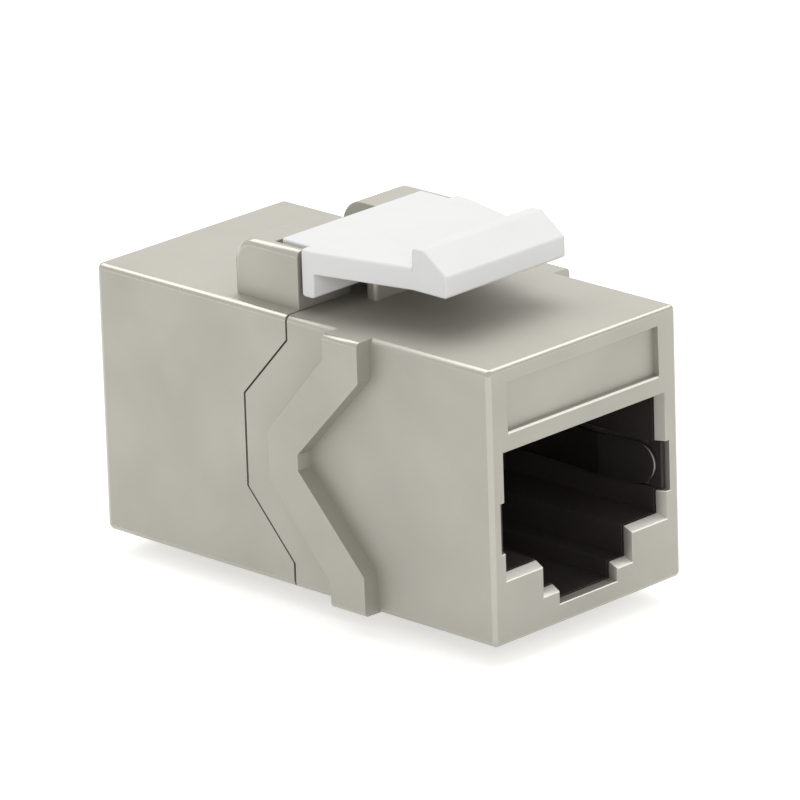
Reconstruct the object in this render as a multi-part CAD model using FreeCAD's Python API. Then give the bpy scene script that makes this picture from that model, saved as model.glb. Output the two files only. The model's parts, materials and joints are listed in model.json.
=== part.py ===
import FreeCAD, Part

import os
from math import sin, tan

from FreeCAD import Vector

# Shielded keystone coupler: two die-cast shells that meet at a chevron seam, a
# plug socket at each end, and a sprung plastic latch on top.
# Millimetres. X is the width, Y runs back from the front face, Z is up from the
# underside. The last step moves the part to its own origin.

# Housing
width = 14.5
height = 15.4
length = 29.4
wall = 0.9
end_wall = 0.6
long_edge_radius = 0.35
front_edge_radius = 0.25
rear_edge_radius = 0.45
mid_z = height / 2

# Clearances inside the housing
fit_gap = 0.08
block_gap = 0.05
board_gap = 0.05

# How far a cutting form runs past what it cuts
cut_past = 1.0

# Seam between the shells: straight on top and below, a tongue on each side
seam_past_middle = 0.05
seam_gap = 0.12
tongue_reach = 3.35
tongue_root_inset = 1.39
tongue_tip_half = 2.64
lap_length = 1.1
lap_gap = 0.04
seam_y = length / 2 + seam_past_middle

# Circuit board, upright halfway along the part
board_thick = 1.2
board_edge_gap = 0.15
hole_radius = 0.28
board_front_y = (length - board_thick) / 2

# Comb blocks that guide the contact wires, under the roof of each socket body
socket_roof = 0.77
block_half = 4.5
block_height = 3.0
block_front_y = 2.6
comb_drop = 3.55
comb_depth = 1.3
comb_back = 0.4
comb_slot = 0.5
comb_roof_gap = 0.05
tail_room = 1.1
block_top = height - wall - fit_gap - socket_roof - block_gap
block_low = block_top - block_height
block_rear_y = board_front_y - tail_room
comb_front_y = block_rear_y - comb_depth

# Plug socket: the room for the plug, and the stepped slot for its locking tab
socket_side = 0.32
socket_floor = 0.24
slot_half = 2.14
slot_rise = 0.93
step_half = 3.36
step_rise = 1.69
comb_step_y = 0.1
socket_half = width / 2 - wall - fit_gap - socket_side
socket_top = block_low - block_gap
slot_floor = wall + fit_gap + socket_floor
step_floor = slot_floor + slot_rise
socket_shelf = step_floor + step_rise
socket_depth = comb_front_y - comb_step_y
comb_low = socket_top - comb_drop

# Panel stop, the raised chevron on each side of the front shell
stop_proud = 1.0
stop_end_radius = 0.3
stop_face_y = 8.6
stop_face_sweep = 4.7
stop_face_bend_inset = 2.28
stop_face_tip_half = 0.43
stop_end_band = 2.55
stop_tip_band = 2.15
stop_back_bend_inset = 1.4
stop_back_tip_half = 1.33

# Plug opening in each end wall. It flares from the size of the socket behind it to
# a larger outline in the face, and has a notch in each side for the socket's key
mouth_fit = 0.03
mouth_side_flare = 0.29
mouth_top_flare = 0.09
mouth_step_flare = 0.07
mouth_ledge_flare = 0.27
notch_depth = 0.28
notch_half_height = 1.4
notch_rise = 2.66
mouth_half = socket_half + mouth_fit + mouth_side_flare
mouth_top = socket_top + mouth_fit + mouth_top_flare
notch_z = socket_shelf + notch_rise

# Key on each side of a socket body: it fills the notch, outside the spring's tip
key_gap = 0.05
key_set_back = 0.3
key_bridge = 0.5
tip_room = 0.2

# Bare label panel above the front opening
panel_inset = 1.4
panel_low_gap = 1.04
panel_high_gap = 0.9
panel_depth = 0.38
panel_ledge_radius = 0.15
panel_low_z = mouth_top + panel_low_gap

# Fixed catch below, in line with the latch's lip above
panel_grip = 0.7
catch_half = 3.6
catch_drop = 1.2
catch_flat = 1.3
catch_ramp = 1.0
catch_face_y = stop_face_y - panel_grip

# Stop boss under the latch arm
boss_half = 2.45
boss_to_seam = 2.0
boss_thick = 0.75
boss_height = 1.35
boss_radius = 0.2

# Ears that carry the latch
ear_inner = 2.2
ear_inset = 1.07
ear_depth = 4.85
ear_height = 3.28
ear_rear_radius = 1.5
ear_edge_radius = 0.4
ear_wall = 0.63
pocket_depth_y = 2.2
pocket_drop = 1.43
ear_front_y = seam_y + seam_gap
ear_outer = width / 2 - ear_inset
ear_top_z = height + ear_height
pocket_end_y = ear_front_y + pocket_depth_y

# Latch and the pins that it turns on
pivot_back = 1.43
pivot_rise = 1.0
pin_radius = 0.55
pin_gap = 0.04
pin_length = 0.95
bore_spare = 0.1
lug_gap = 0.12
lug_radius = 0.85
arm_over_ears = 0.17
arm_thick = 1.3
nose_fall = 0.1
nose_reach = 2.48
lip_height = 1.07
lip_flat = 0.85
arm_taper = 1.45
tab_side_gap = 0.17
tab_rear_gap = 0.25
leg_inset = 0.13
leg_thick = 0.88
leg_gap = 0.17
leg_lift = 0.8
latch_round = 0.2
pivot_y = ear_front_y + pivot_back
pivot_z = height + pivot_rise
nose_y = catch_face_y - nose_reach
leg_half = ear_outer - leg_inset
nose_half = leg_half - arm_taper
arm_top_z = ear_top_z + arm_over_ears

# Contact wires
contact_count = 8
contact_pitch = 1.016
contact_width = 0.36
contact_thick = 0.25
contact_bend = 0.6
contact_nose_back = 0.6
contact_nose_rise = 0.15
contact_end_back = 0.5
contact_end_rise = 0.9
contact_tail = 0.5
front_wire_drop = 1.4
rear_wire_drop = 0.6
front_wire_z = block_top - front_wire_drop
rear_wire_z = block_top - rear_wire_drop

# Ground springs in the socket sides
spring_thick = 0.2
spring_half_height = 1.2
spring_window_gap = 0.1
spring_seat_gap = 0.02
spring_rear_gap = 0.5
spring_foot = 0.8
spring_bow_y = 4.3
spring_bow_in = 0.45
spring_tip_y = 0.55
spring_tip_gap = 0.04
spring_bend_radius = 1.2

spring_tip_x = socket_half + tip_room - spring_tip_gap - spring_thick / 2

origin_shift = Vector(0, -length / 2, catch_drop)


# Basic forms
def box(x0, x1, y0, y1, z0, z1):
    return Part.makeBox(x1 - x0, y1 - y0, z1 - z0, Vector(x0, y0, z0))


def centred_box(half, y0, y1, z0, z1):
    return box(-half, half, y0, y1, z0, z1)


def side_wire(points, x):
    corners = [Vector(x, y, z) for y, z in points]
    return Part.makePolygon(corners + corners[:1])


def side_prism(points, half):
    face = Part.Face(side_wire(points, -half))
    return face.extrude(Vector(2 * half, 0, 0))


def end_wire(half_outline, y):
    mirrored = [(-x, z) for x, z in reversed(half_outline)]
    corners = [Vector(x, y, z) for x, z in half_outline + mirrored]
    return Part.makePolygon(corners + corners[:1])


def end_prism(half_outline, y0, y1):
    return Part.Face(end_wire(half_outline, y0)).extrude(Vector(0, y1 - y0, 0))


def plan_prism(half_outline, z0, z1):
    mirrored = [(-x, y) for x, y in reversed(half_outline)]
    corners = [Vector(x, y, z0) for x, y in half_outline + mirrored]
    face = Part.Face(Part.makePolygon(corners + corners[:1]))
    return face.extrude(Vector(0, 0, z1 - z0))


def cross_cylinder(radius, x0, x1, y, z):
    return Part.makeCylinder(radius, x1 - x0, Vector(x0, y, z), Vector(1, 0, 0))


def mirror_x(shape):
    return shape.mirror(Vector(0, 0, 0), Vector(1, 0, 0))


def mirror_y(shape):
    return shape.mirror(Vector(0, length / 2, 0), Vector(0, 1, 0))


def edges_where(shape, test):
    return [edge for edge in shape.Edges if test(edge.BoundBox)]


def is_flat(low, high, at):
    return abs(low - at) < 1e-4 and abs(high - at) < 1e-4


# A strip bent along a path of straight runs joined by tangent arcs
def bent_strip(points, radius, thick_normal, width_half, width_axis, thick):
    edges = []
    start = points[0]
    for index in range(1, len(points) - 1):
        corner = points[index]
        back = (points[index - 1] - corner).normalize()
        ahead = (points[index + 1] - corner).normalize()
        inward = (back + ahead).normalize()
        half_turn = back.getAngle(ahead) / 2
        setback = radius / tan(half_turn)
        centre = corner + inward * (radius / sin(half_turn))
        enter = corner + back * setback
        leave = corner + ahead * setback
        edges.append(Part.LineSegment(start, enter).toShape())
        middle = centre - inward * radius
        edges.append(Part.Arc(enter, middle, leave).toShape())
        start = leave
    edges.append(Part.LineSegment(start, points[-1]).toShape())
    across = width_axis * width_half
    deep = thick_normal * (thick / 2)
    at = points[0]
    corners = [at - across - deep, at + across - deep, at + across + deep, at - across + deep]
    section = Part.makePolygon(corners + corners[:1])
    return Part.Wire(edges).makePipeShell([section], True, True)


# Outer block of both shells together, with its rounded edges
def outer_block():
    block = centred_box(width / 2, 0, length, 0, height)
    long_edges = edges_where(block, lambda b: b.YLength > length / 2)
    block = block.makeFillet(long_edge_radius, long_edges)
    front_edges = edges_where(block, lambda b: is_flat(b.YMin, b.YMax, 0))
    block = block.makeFillet(front_edge_radius, front_edges)
    rear_edges = edges_where(block, lambda b: is_flat(b.YMin, b.YMax, length))
    return block.makeFillet(rear_edge_radius, rear_edges)


# Everything behind the seam line, moved by a distance along Y
def behind_seam(offset):
    root_y = seam_y + offset
    tip_y = root_y + tongue_reach
    far_y = length + cut_past
    outline = [
        (root_y, -cut_past),
        (root_y, tongue_root_inset),
        (tip_y, mid_z - tongue_tip_half),
        (tip_y, mid_z + tongue_tip_half),
        (root_y, height - tongue_root_inset),
        (root_y, height + cut_past),
        (far_y, height + cut_past),
        (far_y, -cut_past),
    ]
    return side_prism(outline, width)


def cavity():
    return centred_box(width / 2 - wall, end_wall, length - end_wall, wall, height - wall)


# Outline of the plug opening, larger than the socket's by one amount on each side
def mouth_outline(side, top, step, ledge, floor):
    return [
        (socket_half + side, socket_top + top),
        (socket_half + side, socket_shelf - ledge),
        (step_half + step, socket_shelf - ledge),
        (step_half + step, step_floor - ledge),
        (slot_half + step, step_floor - ledge),
        (slot_half + step, slot_floor - floor),
    ]


def plug_opening():
    inner = mouth_outline(mouth_fit, mouth_fit, mouth_fit, mouth_fit, mouth_fit)
    outer = mouth_outline(mouth_fit + mouth_side_flare, mouth_fit + mouth_top_flare,
                          mouth_fit + mouth_step_flare, mouth_fit + mouth_ledge_flare,
                          mouth_fit + mouth_step_flare)
    flare = Part.makeLoft([end_wire(outer, 0), end_wire(inner, end_wall)], True, True)
    ahead = end_prism(outer, -cut_past, 0)
    behind = end_prism(inner, end_wall, end_wall + fit_gap)
    notches = centred_box(mouth_half + notch_depth, -cut_past, end_wall + fit_gap,
                          notch_z - notch_half_height, notch_z + notch_half_height)
    return flare.fuse([ahead, behind, notches])


# The raised chevron, a flat band with a square step in front and behind
def panel_stop():
    face_tip_y = stop_face_y + stop_face_sweep
    back_y = stop_face_y + stop_end_band
    upper = [
        (face_tip_y + stop_tip_band, stop_back_tip_half),
        (back_y, mid_z - stop_back_bend_inset),
        (back_y, mid_z),
        (stop_face_y, mid_z),
        (stop_face_y, mid_z - stop_face_bend_inset),
        (face_tip_y, stop_face_tip_half),
    ]
    lower = [(y, -z) for y, z in reversed(upper)]
    outline = [(y, z + mid_z) for y, z in upper + lower]
    face = Part.Face(side_wire(outline, width / 2 - long_edge_radius))
    band = face.extrude(Vector(stop_proud + long_edge_radius, 0, 0))
    end_edges = edges_where(band, lambda b: b.XMin > width / 2 and b.ZLength < stop_end_radius
                            and b.YLength > stop_end_radius)
    return band.makeFillet(stop_end_radius, end_edges)


def fixed_catch():
    flat_start = catch_face_y - catch_flat
    outline = [
        (flat_start - catch_ramp, wall / 2),
        (flat_start - catch_ramp, 0),
        (flat_start, -catch_drop),
        (catch_face_y, -catch_drop),
        (catch_face_y, wall / 2),
    ]
    return side_prism(outline, catch_half)


# The small block that keeps the latch arm from being pressed too far
def stop_boss():
    top = height + boss_height
    boss_y = seam_y - boss_to_seam
    boss = centred_box(boss_half, boss_y, boss_y + boss_thick, height - wall / 2, top)
    return boss.makeFillet(boss_radius, edges_where(boss, lambda b: b.ZLength > boss_height))


# Recess of the bare label panel, with a rounded ledge along its foot
def label_panel():
    half = width / 2 - panel_inset
    ledge_z = panel_low_z - panel_ledge_radius
    recess = centred_box(half, -cut_past, panel_depth, panel_low_z, height - panel_high_gap)
    ledge = centred_box(half, 0, panel_ledge_radius, ledge_z, panel_low_z)
    ledge = ledge.cut(cross_cylinder(panel_ledge_radius, -half, half, panel_ledge_radius, ledge_z))
    return recess.fuse(ledge)


def front_shell():
    shell = outer_block().cut(behind_seam(0))
    stop = panel_stop()
    shell = shell.fuse([stop, mirror_x(stop), stop_boss(), fixed_catch()])
    lap_room = centred_box((width - wall) / 2, 0, length, wall / 2, height - wall / 2)
    lap_room = lap_room.common(behind_seam(-lap_length - lap_gap))
    return shell.cut([cavity(), lap_room, plug_opening(), label_panel()]).removeSplitter()


# One ear with its rounded rear corner, the latch's pocket and the pin bore
def ear():
    rear_y = ear_front_y + ear_depth
    block = box(ear_inner, ear_outer, ear_front_y, rear_y, height - wall / 2, ear_top_z)
    rear_edges = edges_where(block, lambda b: is_flat(b.YMin, b.YMax, rear_y) and b.ZMin > height)
    block = block.makeFillet(ear_rear_radius, rear_edges)
    outer_edges = edges_where(block, lambda b: is_flat(b.XMin, b.XMax, ear_outer) and b.ZMin > height)
    block = block.makeFillet(ear_edge_radius, outer_edges)
    pocket = box(ear_inner - cut_past, ear_outer - ear_wall, ear_front_y - cut_past, pocket_end_y,
                 ear_top_z - pocket_drop, ear_top_z + cut_past)
    bore_end = ear_inner - lug_gap + pin_length + bore_spare
    bore = cross_cylinder(pin_radius + pin_gap, ear_inner - cut_past, bore_end, pivot_y, pivot_z)
    return block.cut([pocket, bore])


def rear_shell():
    shell = outer_block().common(behind_seam(seam_gap))
    lap = centred_box((width - wall) / 2 - lap_gap, 0, seam_y + tongue_reach + cut_past,
                      wall / 2 + lap_gap, height - wall / 2 - lap_gap)
    lap = lap.common(behind_seam(seam_gap - lap_length))
    right_ear = ear()
    shell = shell.fuse([lap, right_ear, mirror_x(right_ear)])
    return shell.cut([cavity(), mirror_y(plug_opening())]).removeSplitter()


# The latch: arm, lip, leg, rear tab and the pinned lug between the ears, one moulding
def latch():
    under = arm_top_z - arm_thick
    lip_top = arm_top_z + lip_height
    leg_rear = ear_front_y - leg_gap
    leg_front = leg_rear - leg_thick
    tab_half = ear_outer - ear_wall - tab_side_gap
    arm = plan_prism([
        (nose_half, nose_y + lip_flat),
        (nose_half, catch_face_y),
        (leg_half, leg_front),
        (leg_half, leg_rear),
    ], under, arm_top_z)
    long_edges = edges_where(arm, lambda b: b.ZMin > under and b.YLength > leg_thick / 2)
    arm = arm.makeFillet(latch_round, long_edges)
    nose = side_prism([
        (catch_face_y, under),
        (catch_face_y, lip_top),
        (catch_face_y - lip_flat, lip_top),
        (nose_y, arm_top_z - nose_fall),
        (nose_y, under),
    ], nose_half)
    nose = nose.makeFillet(latch_round, edges_where(nose, lambda b: b.XLength > nose_half))
    leg = centred_box(leg_half, leg_front, leg_rear, height + leg_lift, arm_top_z - latch_round)
    foot_edges = edges_where(leg, lambda b: b.XLength > leg_half and b.ZMax < under)
    leg = leg.makeFillet(latch_round, foot_edges)
    tab = centred_box(tab_half, leg_front, pocket_end_y - tab_rear_gap, under, arm_top_z)
    upright_edges = edges_where(tab, lambda b: b.ZLength > latch_round)
    tab = tab.makeFillet(latch_round, upright_edges)
    lug_half = ear_inner - lug_gap
    lug = centred_box(lug_half, pivot_y - lug_radius, pivot_y + lug_radius, pivot_z, under + latch_round)
    boss = cross_cylinder(lug_radius, -lug_half, lug_half, pivot_y, pivot_z)
    pin_half = lug_half + pin_length
    pin = cross_cylinder(pin_radius, -pin_half, pin_half, pivot_y, pivot_z)
    return arm.fuse([nose, leg, tab, lug, boss, pin]).removeSplitter()


# Plug socket body: the hollow that takes the plug, the comb block's seat, and a key
# and a spring window in each side
def socket_body():
    half = socket_half + socket_side
    front_y = end_wall + fit_gap
    rear_y = board_front_y - board_gap
    body = centred_box(half, front_y, rear_y, wall + fit_gap, height - wall - fit_gap)
    hollow = end_prism([
        (socket_half, socket_top),
        (socket_half, socket_shelf),
        (step_half, socket_shelf),
        (step_half, step_floor),
        (slot_half, step_floor),
        (slot_half, slot_floor),
    ], 0, socket_depth)
    seat = side_prism([
        (block_front_y - block_gap, socket_top - comb_drop / 2),
        (block_front_y - block_gap, block_top + block_gap),
        (length / 2, block_top + block_gap),
        (length / 2, comb_low - block_gap),
        (socket_depth - comb_depth, comb_low - block_gap),
        (socket_depth - comb_depth, socket_top - comb_drop / 2),
    ], block_half + block_gap)
    low = notch_z - spring_half_height - spring_window_gap
    high = notch_z + spring_half_height + spring_window_gap
    bridge_y = front_y + key_bridge
    window_end_y = board_front_y - spring_rear_gap + spring_window_gap
    window = box(socket_half, width / 2, bridge_y, window_end_y, low, high)
    tip_seat = box(socket_half, socket_half + tip_room, 0, bridge_y, low, high)
    body = body.cut([hollow, seat, window, tip_seat, mirror_x(window), mirror_x(tip_seat)])
    key_low = notch_z - notch_half_height + key_gap
    key_high = notch_z + notch_half_height - key_gap
    key_x = socket_half + tip_room
    key = box(key_x, mouth_half + notch_depth - key_gap, key_set_back, end_wall - key_gap, key_low, key_high)
    bridge = box(key_x, half, key_set_back, bridge_y, key_low, key_high)
    return body.fuse([key, bridge, mirror_x(key), mirror_x(bridge)]).removeSplitter()


# Comb block: an L-shaped carrier with one slot for each wire
def contact_block(wire_z):
    block = side_prism([
        (block_front_y, block_low),
        (block_front_y, block_top),
        (block_rear_y, block_top),
        (block_rear_y, comb_low),
        (comb_front_y, comb_low),
        (comb_front_y, block_low),
    ], block_half)
    roof = wire_z + contact_thick / 2 + comb_roof_gap
    slots = []
    for x in contact_places():
        low_x = x - comb_slot / 2
        high_x = x + comb_slot / 2
        slots.append(box(low_x, high_x, 0, board_front_y, socket_top, roof))
        slots.append(box(low_x, high_x, 0, block_rear_y - comb_back, 0, block_low + comb_roof_gap))
    return block.cut(slots)


def contact_places():
    first = -contact_pitch * (contact_count - 1) / 2
    return [first + contact_pitch * index for index in range(contact_count)]


def contact(x, wire_z):
    nose = block_front_y + contact_nose_back
    path = [
        Vector(x, board_front_y + board_thick + contact_tail, wire_z),
        Vector(x, nose, wire_z),
        Vector(x, nose, socket_top + contact_nose_rise),
        Vector(x, comb_front_y + contact_end_back, comb_low + contact_end_rise),
    ]
    return bent_strip(path, contact_bend, Vector(0, 0, 1), contact_width / 2, Vector(1, 0, 0), contact_thick)


def circuit_board():
    half = width / 2 - wall - board_edge_gap
    low = wall + board_edge_gap
    board = centred_box(half, board_front_y, board_front_y + board_thick, low, height - low)
    holes = []
    for x in contact_places():
        for z in (front_wire_z, rear_wire_z):
            holes.append(Part.makeCylinder(hole_radius, length, Vector(x, 0, z), Vector(0, 1, 0)))
    return board.cut(holes)


# Ground spring of the right side: a leaf that bows into the socket
def ground_spring():
    seat_x = width / 2 - wall - spring_seat_gap - spring_thick / 2
    path = [
        Vector(seat_x, board_front_y - spring_rear_gap, notch_z),
        Vector(seat_x, socket_depth - spring_foot, notch_z),
        Vector(socket_half - spring_bow_in, spring_bow_y, notch_z),
        Vector(spring_tip_x, spring_tip_y, notch_z),
    ]
    leaf = bent_strip(path, spring_bend_radius, Vector(1, 0, 0),
                      spring_half_height, Vector(0, 0, 1), spring_thick)
    end_y = spring_tip_y + spring_half_height
    rounded = cross_cylinder(spring_half_height, 0, width, end_y, notch_z)
    straight = box(0, width, end_y, length, notch_z - spring_half_height, notch_z + spring_half_height)
    return leaf.common(rounded.fuse(straight))


def save(name, shape):
    placed = shape.copy()
    placed.translate(origin_shift)
    solid = placed.Solids[0] if len(placed.Solids) == 1 else placed
    print(name, "valid", solid.isValid(), "solids", len(placed.Solids), "volume", round(solid.Volume, 3))
    solid.exportStep("parts/" + name + ".step")


os.makedirs("parts", exist_ok=True)
save("front_shell", front_shell())
save("rear_shell", rear_shell())
save("latch", latch())
save("circuit_board", circuit_board())
save("front_socket_body", socket_body())
save("rear_socket_body", mirror_y(socket_body()))
save("front_contact_block", contact_block(front_wire_z))
save("rear_contact_block", mirror_y(contact_block(rear_wire_z)))
for number, place in enumerate(contact_places(), start=1):
    save("front_contact_" + str(number), contact(place, front_wire_z))
    save("rear_contact_" + str(number), mirror_y(contact(place, rear_wire_z)))
spring = ground_spring()
save("front_right_ground_spring", spring)
save("front_left_ground_spring", mirror_x(spring))
save("rear_right_ground_spring", mirror_y(spring))
save("rear_left_ground_spring", mirror_x(mirror_y(spring)))
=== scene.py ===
import json
from math import cos, radians, sin

import bmesh
import bpy
from mathutils import Matrix, Vector

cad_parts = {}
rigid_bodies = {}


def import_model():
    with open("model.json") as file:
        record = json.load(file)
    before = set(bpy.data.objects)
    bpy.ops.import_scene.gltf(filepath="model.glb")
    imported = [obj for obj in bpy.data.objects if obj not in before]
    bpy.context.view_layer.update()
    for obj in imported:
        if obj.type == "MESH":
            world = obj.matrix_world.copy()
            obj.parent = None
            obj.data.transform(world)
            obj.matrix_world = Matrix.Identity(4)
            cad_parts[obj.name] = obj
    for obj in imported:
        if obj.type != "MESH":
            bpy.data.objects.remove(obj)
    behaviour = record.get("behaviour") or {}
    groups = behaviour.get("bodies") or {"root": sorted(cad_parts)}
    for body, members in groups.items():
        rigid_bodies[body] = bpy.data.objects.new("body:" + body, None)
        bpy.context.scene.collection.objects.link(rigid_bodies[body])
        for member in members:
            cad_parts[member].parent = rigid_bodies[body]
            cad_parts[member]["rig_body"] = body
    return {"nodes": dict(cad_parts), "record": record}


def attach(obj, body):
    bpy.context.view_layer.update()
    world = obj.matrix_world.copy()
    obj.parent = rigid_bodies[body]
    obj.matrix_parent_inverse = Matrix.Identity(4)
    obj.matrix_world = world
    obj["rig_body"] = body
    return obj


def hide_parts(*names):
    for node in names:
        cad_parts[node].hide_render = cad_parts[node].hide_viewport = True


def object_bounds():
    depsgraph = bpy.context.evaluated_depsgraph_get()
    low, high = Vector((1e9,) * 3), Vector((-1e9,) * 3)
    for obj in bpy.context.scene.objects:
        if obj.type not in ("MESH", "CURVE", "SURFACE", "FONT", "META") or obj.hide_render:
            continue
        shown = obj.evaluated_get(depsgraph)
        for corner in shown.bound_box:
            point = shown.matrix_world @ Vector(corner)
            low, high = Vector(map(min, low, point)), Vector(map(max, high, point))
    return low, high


# A shielded keystone coupler: two cast shells plated with nickel, a white latch, black sockets
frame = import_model()
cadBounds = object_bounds()
nodes = frame["nodes"]
print("frame:", len(nodes), "nodes")


# Camera, as it stood for the photograph
camera = {
    "azimuth": -45.390,
    "elevation": 19.033,
    "roll": -1.840,
    "distance": 0.450,
    "aimHeight": 0.0089,
    "slideRight": -0.0007386,
    "slideUp": -0.0009717,
    "lens": 375.1,
    "sensor": 36.0,
    "nearest": 0.01,
    "farthest": 20,
}


def placeCamera(settings):
    azimuth = radians(settings["azimuth"])
    elevation = radians(settings["elevation"])
    roll = radians(settings["roll"])
    back = Vector((sin(azimuth) * cos(elevation), -cos(azimuth) * cos(elevation), sin(elevation)))
    level = Vector((cos(azimuth), sin(azimuth), 0))
    upright = back.cross(level)
    right = level * cos(roll) + upright * sin(roll)
    up = upright * cos(roll) - level * sin(roll)
    lens = bpy.data.cameras.new("photoCamera")
    lens.lens = settings["lens"]
    lens.sensor_width = settings["sensor"]
    lens.clip_start = settings["nearest"]
    lens.clip_end = settings["farthest"]
    holder = bpy.data.objects.new("photoCamera", lens)
    spot = Vector((0, 0, settings["aimHeight"])) + back * settings["distance"]
    spot -= right * settings["slideRight"] + up * settings["slideUp"]
    turn = Matrix((right, up, back)).transposed().to_4x4()
    holder.matrix_world = Matrix.Translation(spot) @ turn
    bpy.context.scene.collection.objects.link(holder)
    bpy.context.scene.camera = holder


placeCamera(camera)
print("camera placed")


# Studio: white surroundings, a long strip light above and behind, and a soft fill in front
studio = {
    "roomLight": 0.64,
    "backdropLight": 1.0,
    "floorReach": 3.0,
    "floorSides": 64,
    "floorColour": (0.80, 0.80, 0.79, 1),
    "floorRoughness": 0.9,
    "floorSheen": 0.1,
    "floorGlow": 0.48,
    "lamps": {
        "stripAbove": {"spot": (0.02, 0.24, 0.42), "aim": (0.02, 0.10, 0.0), "wide": 1.15, "deep": 0.30,
                       "watts": 2.0, "mirrored": True},
        "fillInFront": {"spot": (0.08, -0.55, 0.25), "aim": (0.0, 0.0, 0.0), "wide": 0.40, "deep": 0.40,
                        "watts": 1.0, "mirrored": False},
    },
}


def seenDirectly(tree):
    path = tree.nodes.new("ShaderNodeLightPath")
    both = tree.nodes.new("ShaderNodeMath")
    both.operation = "ADD"
    every = tree.nodes.new("ShaderNodeMath")
    every.operation = "ADD"
    every.use_clamp = True
    tree.links.new(path.outputs["Is Camera Ray"], both.inputs[0])
    tree.links.new(path.outputs["Is Glossy Ray"], both.inputs[1])
    tree.links.new(both.outputs[0], every.inputs[0])
    tree.links.new(path.outputs["Is Transmission Ray"], every.inputs[1])
    return every.outputs[0]


def buildWorld(settings):
    world = bpy.data.worlds.new("whiteRoom")
    world.use_nodes = True
    tree = world.node_tree
    light = tree.nodes["Background"]
    light.inputs["Color"].default_value = (1, 1, 1, 1)
    level = tree.nodes.new("ShaderNodeMapRange")
    level.inputs["To Min"].default_value = settings["roomLight"]
    level.inputs["To Max"].default_value = settings["backdropLight"]
    tree.links.new(seenDirectly(tree), level.inputs["Value"])
    tree.links.new(level.outputs["Result"], light.inputs["Strength"])
    bpy.context.scene.world = world


def buildFloor(settings):
    mesh = bpy.data.meshes.new("floor")
    bm = bmesh.new()
    bmesh.ops.create_circle(bm, cap_ends=True, segments=settings["floorSides"],
                            radius=settings["floorReach"])
    bm.to_mesh(mesh)
    bm.free()
    floor = bpy.data.objects.new("floor", mesh)
    bpy.context.scene.collection.objects.link(floor)
    paint = bpy.data.materials.new("paleFloor")
    paint.use_nodes = True
    tree = paint.node_tree
    surface = tree.nodes["Principled BSDF"]
    surface.inputs["Base Color"].default_value = settings["floorColour"]
    surface.inputs["Roughness"].default_value = settings["floorRoughness"]
    surface.inputs["Specular IOR Level"].default_value = settings["floorSheen"]
    surface.inputs["Emission Color"].default_value = (1, 1, 1, 1)
    glow = tree.nodes.new("ShaderNodeMath")
    glow.operation = "MULTIPLY"
    glow.inputs[1].default_value = settings["floorGlow"]
    tree.links.new(seenDirectly(tree), glow.inputs[0])
    tree.links.new(glow.outputs[0], surface.inputs["Emission Strength"])
    mesh.materials.append(paint)


# Lamps stand as the camera sees them: to its right, away from it, up
def buildLamps(settings):
    turn = Matrix.Rotation(radians(camera["azimuth"]), 4, "Z")
    for name, lamp in settings["lamps"].items():
        light = bpy.data.lights.new(name, "AREA")
        light.shape = "RECTANGLE"
        light.size = lamp["wide"]
        light.size_y = lamp["deep"]
        light.energy = lamp["watts"]
        holder = bpy.data.objects.new(name, light)
        holder.visible_glossy = lamp["mirrored"]
        spot = Vector(lamp["spot"])
        facing = (spot - Vector(lamp["aim"])).to_track_quat("Z", "Y").to_matrix().to_4x4()
        holder.matrix_world = turn @ Matrix.Translation(spot) @ facing
        bpy.context.scene.collection.objects.link(holder)


buildWorld(studio)
buildFloor(studio)
buildLamps(studio)
bpy.context.scene.view_settings.view_transform = "Standard"
print("studio built")


# Small helpers for shader trees
def addNode(tree, kind, **values):
    node = tree.nodes.new(kind)
    for name, value in values.items():
        setattr(node, name, value)
    return node


def addMath(tree, operation, first, second):
    node = addNode(tree, "ShaderNodeMath", operation=operation)
    for socket, value in zip(node.inputs, (first, second)):
        if isinstance(value, bpy.types.NodeSocket):
            tree.links.new(value, socket)
        else:
            socket.default_value = value
    return node.outputs[0]


def newGroup(name, inputs, outputs):
    group = bpy.data.node_groups.new(name, "ShaderNodeTree")
    for label, kind, value in inputs:
        socket = group.interface.new_socket(label, in_out="INPUT", socket_type=kind)
        socket.default_value = value
    for label, kind in outputs:
        group.interface.new_socket(label, in_out="OUTPUT", socket_type=kind)
    source = group.nodes.new("NodeGroupInput")
    sink = group.nodes.new("NodeGroupOutput")
    return group, source, sink


def placeGroup(tree, group, values):
    node = tree.nodes.new("ShaderNodeGroup")
    node.node_tree = group
    for label, value in values.items():
        node.inputs[label].default_value = value
    where = tree.nodes.new("ShaderNodeTexCoord")
    tree.links.new(where.outputs["Object"], node.inputs["Place"])
    return node


# Grain: fine pits of a cast or moulded skin, and broad patches of duller surface
grainMix = {
    "fineDetail": 3,
    "swellDetail": 1,
    "swellSize": 5.0,
    "swellHeight": 1.5,
    "patchDetail": 2,
    "patchRange": (0.3, 0.7),
}


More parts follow.
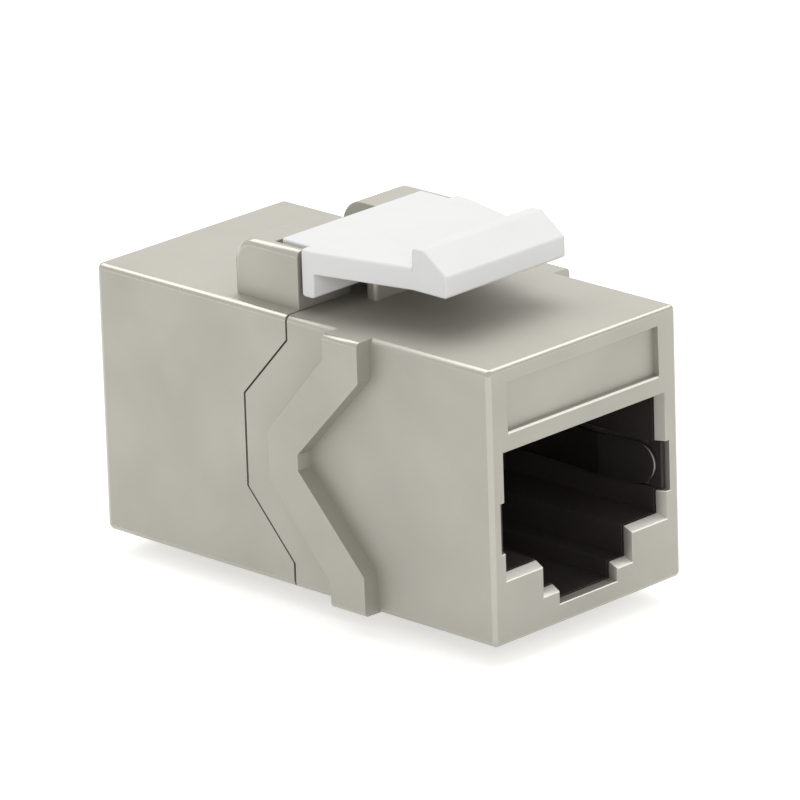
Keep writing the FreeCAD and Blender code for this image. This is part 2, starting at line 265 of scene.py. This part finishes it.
def buildGrainGroup(mix):
    group, source, sink = newGroup(
        "skinGrain",
        [("Place", "NodeSocketVector", (0, 0, 0)), ("Grain Size", "NodeSocketFloat", 0.0002),
         ("Patch Size", "NodeSocketFloat", 0.004)],
        [("Height", "NodeSocketFloat"), ("Patches", "NodeSocketFloat")],
    )

    def noise(size, detail):
        texture = addNode(group, "ShaderNodeTexNoise")
        texture.inputs["Detail"].default_value = detail
        group.links.new(source.outputs["Place"], texture.inputs["Vector"])
        group.links.new(addMath(group, "DIVIDE", 1.0, size), texture.inputs["Scale"])
        return texture.outputs["Fac"]

    fine = noise(source.outputs["Grain Size"], mix["fineDetail"])
    broad = noise(source.outputs["Patch Size"], mix["patchDetail"])
    swellSize = addMath(group, "MULTIPLY", source.outputs["Grain Size"], mix["swellSize"])
    swell = noise(swellSize, mix["swellDetail"])
    height = addMath(group, "ADD", fine, addMath(group, "MULTIPLY", swell, mix["swellHeight"]))
    patches = addNode(group, "ShaderNodeMapRange")
    patches.inputs["From Min"].default_value = mix["patchRange"][0]
    patches.inputs["From Max"].default_value = mix["patchRange"][1]
    group.links.new(broad, patches.inputs["Value"])
    group.links.new(height, sink.inputs["Height"])
    group.links.new(patches.outputs["Result"], sink.inputs["Patches"])
    return group


skinGrain = buildGrainGroup(grainMix)


def buildSkin(name, look):
    material = bpy.data.materials.new(name)
    material.use_nodes = True
    material.diffuse_color = look["colour"]
    tree = material.node_tree
    surface = tree.nodes["Principled BSDF"]
    grain = placeGroup(tree, skinGrain, {"Grain Size": look["grain"], "Patch Size": look["patch"]})
    tint = addNode(tree, "ShaderNodeMix", data_type="RGBA")
    tint.inputs["A"].default_value = look["colour"]
    tint.inputs["B"].default_value = look["otherColour"]
    tree.links.new(grain.outputs["Patches"], tint.inputs["Factor"])
    skinColour = tint.outputs["Result"]
    # Painted highlight: faces marked as ledges take the much lighter painted highlight colour
    if "wornColour" in look:
        highlightMarks = addNode(tree, "ShaderNodeAttribute", attribute_name="plugWear")
        paintedHighlight = addNode(tree, "ShaderNodeMix", data_type="RGBA")
        paintedHighlight.inputs["B"].default_value = look["wornColour"]
        tree.links.new(highlightMarks.outputs["Fac"], paintedHighlight.inputs["Factor"])
        tree.links.new(skinColour, paintedHighlight.inputs["A"])
        skinColour = paintedHighlight.outputs["Result"]
    tree.links.new(skinColour, surface.inputs["Base Color"])
    rough = addNode(tree, "ShaderNodeMapRange")
    rough.inputs["To Min"].default_value = look["roughness"][0]
    rough.inputs["To Max"].default_value = look["roughness"][1]
    tree.links.new(grain.outputs["Patches"], rough.inputs["Value"])
    rub = addNode(tree, "ShaderNodeAttribute", attribute_name="edgeRub")
    rubbed = addNode(tree, "ShaderNodeMix", data_type="FLOAT")
    rubbed.inputs["B"].default_value = look["rubbedRoughness"]
    tree.links.new(rub.outputs["Fac"], rubbed.inputs["Factor"])
    tree.links.new(rough.outputs["Result"], rubbed.inputs["A"])
    tree.links.new(rubbed.outputs["Result"], surface.inputs["Roughness"])
    surface.inputs["Metallic"].default_value = look["metallic"]
    surface.inputs["Specular IOR Level"].default_value = look["sheen"]
    bump = addNode(tree, "ShaderNodeBump")
    bump.inputs["Strength"].default_value = look["bump"]
    bump.inputs["Distance"].default_value = look["depth"]
    tree.links.new(grain.outputs["Height"], bump.inputs["Height"])
    tree.links.new(bump.outputs["Normal"], surface.inputs["Normal"])
    return material


nickel = {
    "colour": (0.443, 0.430, 0.381, 1),
    "otherColour": (0.430, 0.417, 0.370, 1),
    # Near-white colour for the sloped ledges of the plug openings and the label panel's lower rim: a
    # painted highlight
    "wornColour": (0.84, 0.82, 0.77, 1),
    "metallic": 0.8,
    "sheen": 0.5,
    "roughness": (0.54, 0.62),
    "rubbedRoughness": 0.26,
    "grain": 0.00018,
    "patch": 0.0045,
    "bump": 0.35,
    "depth": 0.000008,
}
latchWhite = {
    "colour": (0.76, 0.76, 0.755, 1),
    "otherColour": (0.745, 0.745, 0.74, 1),
    "metallic": 0.0,
    "sheen": 0.35,
    "roughness": (0.40, 0.48),
    "rubbedRoughness": 0.40,
    "grain": 0.00025,
    "patch": 0.003,
    "bump": 0.15,
    "depth": 0.000006,
}
socketBlack = {
    "colour": (0.028, 0.025, 0.023, 1),
    "otherColour": (0.034, 0.030, 0.027, 1),
    "metallic": 0.0,
    "sheen": 0.25,
    "roughness": (0.45, 0.58),
    "rubbedRoughness": 0.45,
    "grain": 0.00012,
    "patch": 0.003,
    "bump": 0.4,
    "depth": 0.00001,
}
combBlack = dict(socketBlack, colour=(0.018, 0.018, 0.020, 1), roughness=(0.3, 0.4))
gold = {
    "colour": (0.93, 0.70, 0.33, 1),
    "otherColour": (0.88, 0.66, 0.31, 1),
    "metallic": 1.0,
    "sheen": 0.5,
    "roughness": (0.16, 0.26),
    "rubbedRoughness": 0.14,
    "grain": 0.00008,
    "patch": 0.0015,
    "bump": 0.12,
    "depth": 0.000004,
}
# Spring colour darkened well below the shell nickel: painted shade for the springs that sit in shadow
# inside the openings
springMetal = {
    "colour": (0.26, 0.24, 0.22, 1),
    "otherColour": (0.24, 0.22, 0.20, 1),
    "metallic": 1.0,
    "sheen": 0.5,
    "roughness": (0.34, 0.42),
    "rubbedRoughness": 0.36,
    "grain": 0.00006,
    "patch": 0.0045,
    "bump": 0.35,
    "depth": 0.000008,
}
boardGreen = {
    "colour": (0.015, 0.16, 0.055, 1),
    "otherColour": (0.012, 0.13, 0.045, 1),
    "metallic": 0.0,
    "sheen": 0.35,
    "roughness": (0.25, 0.38),
    "rubbedRoughness": 0.25,
    "grain": 0.0003,
    "patch": 0.002,
    "bump": 0.2,
    "depth": 0.000008,
}

finishes = {
    "nickel_shell": buildSkin("satinNickel", nickel),
    "latch_plastic": buildSkin("whiteLatchPlastic", latchWhite),
    "socket_plastic": buildSkin("blackSocketPlastic", socketBlack),
    "comb_plastic": buildSkin("blackCombPlastic", combBlack),
    "board": buildSkin("solderMask", boardGreen),
    "contact_gold": buildSkin("contactGold", gold),
    "spring_metal": buildSkin("springNickel", springMetal),
}
print("materials built")


# Pieces: each solid of the frame, with its facets joined and its sharp edges broken (widths in metres)
edgeBreak = {
    "nickel_shell": {"width": 0.00005, "segments": 2},
    "latch_plastic": {"width": 0.00010, "segments": 3},
    "socket_plastic": {"width": 0.00004, "segments": 2},
    "comb_plastic": {"width": 0.00005, "segments": 2},
    "board": {"width": 0.00004, "segments": 2},
    "contact_gold": {"width": 0.00007, "segments": 3},
    "spring_metal": {"width": 0.00005, "segments": 2},
}
joining = {"weld": 1e-7, "flatAngle": 0.4, "sharpAngle": 35.0, "evenWeight": 100}
# Where edge crowns count as rubbed smooth, and where the ledges with the painted highlight lie
rubbingAndHighlight = {
    "stripWidth": 0.00012,
    "ledgeHalf": 0.0066,
    "ledgeTop": 0.0131,
    "ledgeDepth": 0.0008,
    "leastSlope": 0.3,
}


# A face's mean width, small on the narrow facets of a rounded edge
def meanWidth(face):
    return 2 * face.calc_area() / face.calc_perimeter()


# The sloped ledges of a plug opening and the lower rim of the label panel over it, which get a painted
# highlight
def isPlugLedge(face):
    centre = face.calc_center_median()
    endDepth = cadBounds[1][1] - abs(centre.y)
    inPlace = abs(centre.x) < rubbingAndHighlight["ledgeHalf"] and centre.z < rubbingAndHighlight["ledgeTop"]
    atEnd = endDepth < rubbingAndHighlight["ledgeDepth"]
    sloped = face.normal.z > rubbingAndHighlight["leastSlope"] and abs(face.normal.y) > rubbingAndHighlight["leastSlope"]
    return inPlace and atEnd and sloped


# Marks the crown of each rounded edge, rubbed smooth, and the ledges that get a painted highlight
def markRubAndPaintedHighlight(bm):
    rubbed = bm.loops.layers.float.new("edgeRub")
    paintedHighlight = bm.loops.layers.float.new("plugWear")
    crowns = {corner for corner in bm.verts
              if all(meanWidth(face) < rubbingAndHighlight["stripWidth"] for face in corner.link_faces)}
    for face in bm.faces:
        ledge = isPlugLedge(face)
        for loop in face.loops:
            loop[rubbed] = 1.0 if loop.vert in crowns else 0.0
            loop[paintedHighlight] = 1.0 if ledge else 0.0


# Breaks the sharp outer edges with a narrow rounding
def breakEdges(bm, edge):
    sharp = [line for line in bm.edges
             if line.is_manifold and line.calc_face_angle_signed() > radians(joining["sharpAngle"])]
    bmesh.ops.bevel(bm, geom=sharp, offset=edge["width"], offset_type="OFFSET", segments=edge["segments"],
                    profile=0.5, affect="EDGES", clamp_overlap=False, material=-1)


def finishPiece(nodeName, slotName, edge):
    words = nodeName.split("_")
    name = words[0] + "".join(word.capitalize() for word in words[1:])
    source = nodes[nodeName]
    bm = bmesh.new()
    bm.from_mesh(source.data)
    bmesh.ops.remove_doubles(bm, verts=bm.verts, dist=joining["weld"])
    bmesh.ops.dissolve_limit(bm, angle_limit=radians(joining["flatAngle"]), verts=bm.verts, edges=bm.edges)
    breakEdges(bm, edge)
    markRubAndPaintedHighlight(bm)
    mesh = bpy.data.meshes.new(name)
    bm.to_mesh(mesh)
    bm.free()
    if "custom_normal" in mesh.attributes:
        mesh.attributes.remove(mesh.attributes["custom_normal"])
    mesh.shade_smooth()
    mesh.set_sharp_from_angle(angle=radians(joining["sharpAngle"]))
    mesh.materials.clear()
    mesh.materials.append(finishes[slotName])
    piece = bpy.data.objects.new(name, mesh)
    bpy.context.scene.collection.objects.link(piece)
    evenShade = piece.modifiers.new("evenShade", "WEIGHTED_NORMAL")
    evenShade.keep_sharp = True
    evenShade.weight = joining["evenWeight"]
    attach(piece, source["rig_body"])
    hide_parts(nodeName)


for entry in frame["record"]["subparts"]:
    finishPiece(entry["node"], entry["material_slot"], edgeBreak[entry["material_slot"]])
print("pieces finished")
